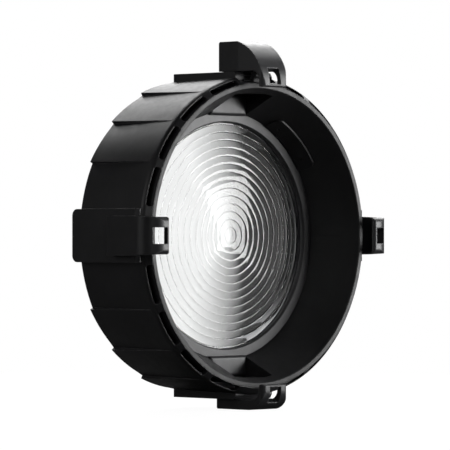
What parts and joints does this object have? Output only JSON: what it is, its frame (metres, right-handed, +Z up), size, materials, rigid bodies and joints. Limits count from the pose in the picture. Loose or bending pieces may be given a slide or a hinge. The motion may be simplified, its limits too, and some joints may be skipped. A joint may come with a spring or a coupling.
{
  "type": "fresnel spotlight front",
  "caption": "Drum-shaped fresnel lens housing with conical hood, stepped glass lens, accessory hooks and a sprung top latch.",
  "frame": {"origin": "centre of the rear shoulder, where the spigot leaves the drum, on the optical axis", "axes": "+Y along the optical axis towards the lamp head, light leaves along -Y, +Z up through the latch"},
  "size_m": [0.2316, 0.09, 0.2453],
  "materials": {
    "shell_plastic": "satin black moulded plastic with a fine spark texture",
    "hood_plastic": "matt black inner wall",
    "cover_plastic": "matt black cover plate",
    "lens_glass": "clear pressed glass with polished steps",
    "silicone": "black silicone",
    "ring_plastic": "satin dark grey plastic",
    "carrier_alloy": "black anodised aluminium",
    "black_steel": "black oxide steel cap screw",
    "baffle_alloy": "matt black anodised sheet",
    "rear_alloy": "black anodised turned aluminium",
    "felt": "black felt light seal",
    "hook_plastic": "satin black glass-filled plastic",
    "latch_plastic": "satin black glass-filled plastic",
    "bracket_plastic": "black moulded plastic",
    "pin_steel": "ground steel pin",
    "spring_steel": "spring steel wire"
  },
  "bodies": {
    "housing": {"outer_shell": "shell_plastic", "inner_hood": "hood_plastic", "hood_cover_left": "cover_plastic", "hood_cover_right": "cover_plastic", "fresnel_lens": "lens_glass", "lens_gasket": "silicone", "lens_retaining_ring": "ring_plastic", "lens_carrier": "carrier_alloy", "lens_ring_screws": "black_steel", "hood_screws": "black_steel", "carrier_screws": "black_steel", "rear_ring_screws": "black_steel", "light_baffle": "baffle_alloy", "rear_ring": "rear_alloy", "rear_seal": "felt", "clip_left": "hook_plastic", "clip_right": "hook_plastic", "clip_bottom": "hook_plastic", "clip_screws_left": "black_steel", "clip_screws_right": "black_steel", "clip_screws_bottom": "black_steel", "latch_bracket": "bracket_plastic", "latch_bracket_screws": "black_steel", "latch_pin": "pin_steel", "latch_pin_rings": "spring_steel", "latch_spring": "spring_steel"},
    "latch": {"top_latch": "latch_plastic"}
  },
  "joints": [
    {"name": "latch_hinge", "type": "hinge", "parent": "housing", "child": "latch", "pos_m": [0, -0.051, 0.1066], "axis": [-1, 0, 0], "range_deg": [0, 24], "stiffness_Nm_per_rad": 0.25, "springref_deg": -20.05, "deforming": ["latch_spring"]}
  ]
}
